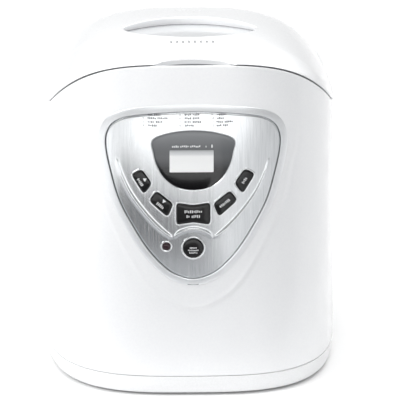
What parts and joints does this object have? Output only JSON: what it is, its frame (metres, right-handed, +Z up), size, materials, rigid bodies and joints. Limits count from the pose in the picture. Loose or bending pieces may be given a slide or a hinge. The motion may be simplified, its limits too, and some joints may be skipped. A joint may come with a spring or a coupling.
{
  "type": "bread machine",
  "caption": "Countertop bread machine with a domed hinged lid, oval window, shield-shaped control panel, lift-out pan, kneading paddle and belt drive.",
  "frame": {"origin": "centre of the footprint, on the surface the feet stand on", "axes": "+Z up, -Y towards the user at the control panel, +X to the user's right"},
  "size_m": [0.2754, 0.3486, 0.3268],
  "materials": {
    "housing_white": "gloss",
    "lid_white": "gloss",
    "base_white": "satin",
    "foot_rubber": "matte",
    "zinc_steel": "satin",
    "bright_steel": "polished",
    "chamber_steel": "satin",
    "deck_plastic": "satin",
    "element_sheath": "oxidised",
    "ceramic": "matte",
    "bronze": "satin",
    "black_plastic": "matte",
    "belt_rubber": "matte",
    "motor_paint": "satin",
    "circuit_board": "satin",
    "capacitor_blue": "gloss",
    "ribbon_grey": "satin",
    "bezel_silver": "satin metallic",
    "fascia_brushed": "brushed",
    "lens_black": "gloss",
    "lcd_grey": "satin",
    "indicator_red": "gloss",
    "button_black": "gloss",
    "window_clear": "clear",
    "gasket_silicone": "matte",
    "liner_plastic": "satin",
    "pan_nonstick": "non-stick",
    "cast_aluminium": "cast"
  },
  "bodies": {
    "root": {"outer_housing": "housing_white", "base_pan": "base_white", "rubber_feet": "foot_rubber", "base_screws": "zinc_steel", "chassis_plate": "zinc_steel", "chassis_spacers": "zinc_steel", "oven_chamber": "chamber_steel", "chamber_deck": "deck_plastic", "heating_element": "element_sheath", "element_insulators": "ceramic", "element_supports": "zinc_steel", "temperature_sensor": "bronze", "thermal_fuse": "ceramic", "pan_socket": "zinc_steel", "bearing_housing": "cast_aluminium", "sleeve_bearings": "bronze", "drive_belt": "belt_rubber", "motor": "motor_paint", "motor_bracket": "zinc_steel", "motor_screws": "zinc_steel", "power_board": "circuit_board", "transformer": "black_plastic", "capacitor": "capacitor_blue", "ribbon_cable": "ribbon_grey", "cord_gland": "black_plastic", "hinge_pins": "bright_steel", "panel_carrier": "black_plastic", "panel_bezel": "bezel_silver", "fascia_plate": "fascia_brushed", "display_lens": "lens_black", "lcd_module": "lcd_grey", "control_board": "circuit_board", "board_screws": "zinc_steel", "tact_switches": "black_plastic", "buzzer": "black_plastic", "indicator_lens": "indicator_red"},
    "lid": {"lid_shell": "lid_white", "window_frame": "lid_white", "window_glass": "window_clear", "window_gasket": "gasket_silicone", "lid_liner": "liner_plastic", "lid_screws": "zinc_steel"},
    "pan": {"bread_pan": "pan_nonstick", "pan_base_ring": "cast_aluminium", "shaft_bush": "bronze"},
    "handle": {"pan_handle": "bright_steel"},
    "mixer": {"pan_shaft": "bright_steel", "wing_coupling": "zinc_steel", "kneading_paddle": "pan_nonstick"},
    "drive": {"drive_shaft": "bright_steel", "drive_coupling": "zinc_steel", "large_pulley": "black_plastic"},
    "rotor": {"motor_shaft": "bright_steel", "small_pulley": "black_plastic"},
    "key_time_up": {"button_time_up": "button_black"},
    "key_time_down": {"button_time_down": "button_black"},
    "key_size": {"button_size": "button_black"},
    "key_options": {"button_options": "button_black"},
    "key_colour": {"button_colour": "button_black"},
    "key_start": {"button_start": "button_black"}
  },
  "joints": [
    {"name": "lid_hinge", "type": "hinge", "parent": "root", "child": "lid", "pos_m": [0, 0.1703, 0.2563], "axis": [-1, 0, 0], "range_deg": [0, 80]},
    {"name": "pan_lift", "type": "slide", "parent": "root", "child": "pan", "axis": [0, 0, 1], "range_m": [0, 0.03]},
    {"name": "handle_swing", "type": "hinge", "parent": "pan", "child": "handle", "pos_m": [0, 0.005, 0.228], "axis": [-1, 0, 0], "range_deg": [0, 148]},
    {"name": "drive_spin", "type": "hinge", "parent": "root", "child": "drive", "pos_m": [0, 0.005, 0.03], "axis": [0, 0, 1], "continuous": true},
    {"name": "mixer_spin", "type": "hinge", "parent": "pan", "child": "mixer", "pos_m": [0, 0.005, 0.1], "axis": [0, 0, 1], "continuous": true},
    {"name": "motor_spin", "type": "hinge", "parent": "root", "child": "rotor", "pos_m": [0, 0.132, 0.03], "axis": [0, 0, 1], "continuous": true},
    {"name": "press_time_up", "type": "slide", "parent": "root", "child": "key_time_up", "axis": [0, 1, 0], "range_m": [0, 0.0012], "stiffness_N_per_m": 300, "springref_m": -0.001},
    {"name": "press_time_down", "type": "slide", "parent": "root", "child": "key_time_down", "axis": [0, 1, 0], "range_m": [0, 0.0012], "stiffness_N_per_m": 300, "springref_m": -0.001},
    {"name": "press_size", "type": "slide", "parent": "root", "child": "key_size", "axis": [0, 1, 0], "range_m": [0, 0.0012], "stiffness_N_per_m": 300, "springref_m": -0.001},
    {"name": "press_options", "type": "slide", "parent": "root", "child": "key_options", "axis": [0, 1, 0], "range_m": [0, 0.0012], "stiffness_N_per_m": 300, "springref_m": -0.001},
    {"name": "press_colour", "type": "slide", "parent": "root", "child": "key_colour", "axis": [0, 1, 0], "range_m": [0, 0.0012], "stiffness_N_per_m": 300, "springref_m": -0.001},
    {"name": "press_start", "type": "slide", "parent": "root", "child": "key_start", "axis": [0, 1, 0], "range_m": [0, 0.0012], "stiffness_N_per_m": 300, "springref_m": -0.001}
  ],
  "couplings": [
    {"joint": "mixer_spin", "follows": "drive_spin", "ratio": 1},
    {"joint": "motor_spin", "follows": "drive_spin", "ratio": 4.8889}
  ]
}
